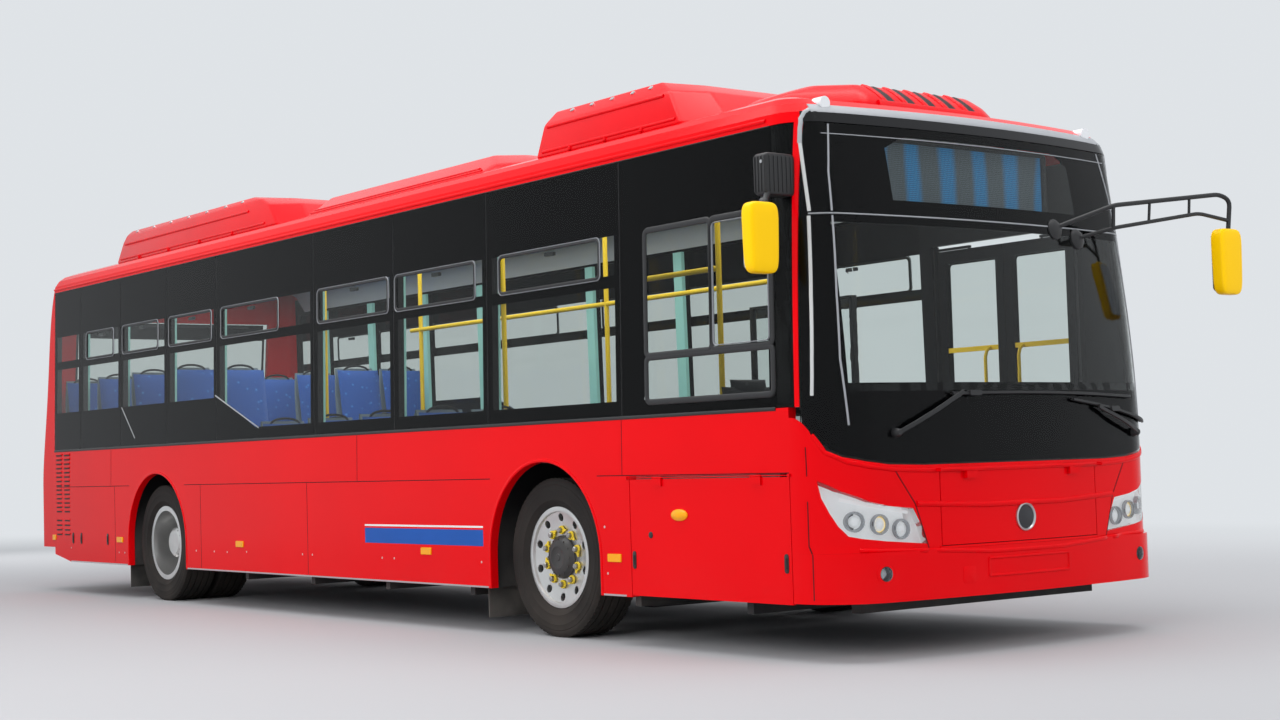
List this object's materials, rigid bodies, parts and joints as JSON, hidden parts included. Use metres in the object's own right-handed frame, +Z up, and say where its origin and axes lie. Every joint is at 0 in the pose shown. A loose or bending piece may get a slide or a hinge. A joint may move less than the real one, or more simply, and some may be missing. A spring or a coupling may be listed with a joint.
{
  "type": "city bus",
  "caption": "Single-deck low-floor city bus with flush glazing, roof housings, twin rear tyres and a gliding double-leaf passenger door.",
  "frame": {"origin": "on the ground at the middle of the length, on the centre line", "axes": "+X forward, +Y to the bus's left, +Z up"},
  "size_m": [11.0828, 3.317, 3.1749],
  "materials": {
    "red_paint": "gloss body paint, plain red",
    "black_gloss": "black gloss paint",
    "dark_glass": "flush tinted glass with black edges",
    "clear_glass": "clear laminated glass",
    "lamp_lens": "clear lens over a silver housing",
    "red_lens": "red lens",
    "amber_lens": "amber lens",
    "inner_trim": "light grey lining",
    "floor": "grey anti-slip floor",
    "frame_steel": "black chassis paint",
    "bare_steel": "machined steel",
    "axle_iron": "cast iron with dark paint",
    "rubber": "black rubber",
    "tyre": "black tyre",
    "alloy": "polished alloy",
    "black_plastic": "black plastic",
    "yellow_plastic": "yellow shell",
    "yellow_rail": "yellow powder coat",
    "seat_cloth": "blue moquette",
    "aluminium_case": "cast housing",
    "driver_cloth": "dark seat cloth"
  },
  "bodies": {
    "body": {"air_springs": "rubber", "cab_screen": "clear_glass", "chassis_frame": "frame_steel", "corner_strips": "red_paint", "dashboard": "black_plastic", "display_box": "black_plastic", "drive_motor": "aluminium_case", "driver_seat": "driver_cloth", "floor_deck": "floor", "front_axle": "axle_iron", "front_bumper": "red_paint", "front_frame": "black_gloss", "front_lamps": "lamp_lens", "front_mask": "red_paint", "handrails": "yellow_rail", "hinge_rods": "bare_steel", "marker_lamps": "amber_lens", "mirror_arms": "black_plastic", "mirror_heads": "yellow_plastic", "mud_flaps": "rubber", "power_pack": "frame_steel", "rear_axle": "axle_iron", "rear_body": "red_paint", "rear_bumper": "rubber", "rear_glass": "dark_glass", "roof_fairing": "red_paint", "roof_housing_mid": "red_paint", "roof_housing_rear": "red_paint", "roof_panel": "red_paint", "roof_unit_front": "red_paint", "seat_stands": "inner_trim", "seats": "seat_cloth", "side_frames": "black_gloss", "side_glass": "dark_glass", "side_panels": "red_paint", "steering_wheel": "black_plastic", "tail_lamps": "red_lens", "wheelhouses": "black_plastic", "windscreen": "clear_glass", "wipers": "black_plastic"},
    "knuckle_left": {"knuckle_left": "axle_iron"},
    "knuckle_right": {"knuckle_right": "axle_iron"},
    "track_rod": {"track_rod": "frame_steel"},
    "wheel_front_left": {"tyre_front_left": "tyre", "rim_front_left": "alloy"},
    "wheel_front_right": {"tyre_front_right": "tyre", "rim_front_right": "alloy"},
    "wheel_rear_left": {"tyre_rear_left": "tyre", "rim_rear_left": "alloy"},
    "wheel_rear_right": {"tyre_rear_right": "tyre", "rim_rear_right": "alloy"},
    "door_post_rear": {"door_post_rear": "black_gloss"},
    "door_post_front": {"door_post_front": "black_gloss"},
    "door_leaf_rear": {"door_leaf_rear": "black_gloss", "door_pane_rear": "dark_glass"},
    "door_leaf_front": {"door_leaf_front": "black_gloss", "door_pane_front": "dark_glass"},
    "front_lid": {"front_lid": "red_paint"},
    "service_flap": {"service_flap": "red_paint"},
    "rear_lid": {"rear_lid": "red_paint"}
  },
  "joints": [
    {"name": "steering_right", "type": "hinge", "parent": "body", "child": "knuckle_right", "pos_m": [2.805, -0.87, 0.47], "axis": [0, 0, 1], "range_deg": [-45, 45]},
    {"name": "steering_left", "type": "hinge", "parent": "body", "child": "knuckle_left", "pos_m": [2.805, 0.87, 0.47], "axis": [0, 0, 1], "range_deg": [-45, 45]},
    {"name": "track_rod_pivot", "type": "hinge", "parent": "knuckle_right", "child": "track_rod", "pos_m": [2.625, -0.87, 0.195], "axis": [0, 0, 1], "range_deg": [-45, 45]},
    {"name": "wheel_spin_front_right", "type": "hinge", "parent": "knuckle_right", "child": "wheel_front_right", "pos_m": [2.805, -1.052, 0.47], "axis": [0, 1, 0], "continuous": true},
    {"name": "wheel_spin_front_left", "type": "hinge", "parent": "knuckle_left", "child": "wheel_front_left", "pos_m": [2.805, 1.052, 0.47], "axis": [0, 1, 0], "continuous": true},
    {"name": "wheel_spin_rear_right", "type": "hinge", "parent": "body", "child": "wheel_rear_right", "pos_m": [-2.745, -0.921, 0.47], "axis": [0, 1, 0], "continuous": true},
    {"name": "wheel_spin_rear_left", "type": "hinge", "parent": "body", "child": "wheel_rear_left", "pos_m": [-2.745, 0.921, 0.47], "axis": [0, 1, 0], "continuous": true},
    {"name": "door_open", "type": "hinge", "parent": "body", "child": "door_post_rear", "pos_m": [3.676, 1.222, 1.3], "axis": [0, 0, -1], "range_deg": [0, 85]},
    {"name": "door_rear_leaf_turn", "type": "hinge", "parent": "door_post_rear", "child": "door_leaf_rear", "pos_m": [3.956, 1.222, 1.3], "axis": [0, 0, 1], "range_deg": [0, 170]},
    {"name": "door_front_post_turn", "type": "hinge", "parent": "body", "child": "door_post_front", "pos_m": [4.824, 1.222, 1.3], "axis": [0, 0, 1], "range_deg": [0, 85]},
    {"name": "door_front_leaf_turn", "type": "hinge", "parent": "door_post_front", "child": "door_leaf_front", "pos_m": [4.544, 1.222, 1.3], "axis": [0, 0, -1], "range_deg": [0, 170]},
    {"name": "front_lid_open", "type": "hinge", "parent": "body", "child": "front_lid", "pos_m": [5.406, 0, 0.938], "axis": [0, -1, 0], "range_deg": [0, 80]},
    {"name": "service_flap_open", "type": "hinge", "parent": "body", "child": "service_flap", "pos_m": [4.3, -1.281, 0.933], "axis": [-1, 0, 0], "range_deg": [0, 85]},
    {"name": "rear_lid_open", "type": "hinge", "parent": "body", "child": "rear_lid", "pos_m": [-5.431, 0, 1.158], "axis": [0, 1, 0], "range_deg": [0, 80]}
  ],
  "couplings": [
    {"joint": "steering_left", "follows": "steering_right", "ratio": 1},
    {"joint": "track_rod_pivot", "follows": "steering_right", "ratio": -1},
    {"joint": "door_rear_leaf_turn", "follows": "door_open", "ratio": 2},
    {"joint": "door_front_post_turn", "follows": "door_open", "ratio": 1},
    {"joint": "door_front_leaf_turn", "follows": "door_open", "ratio": 2}
  ]
}
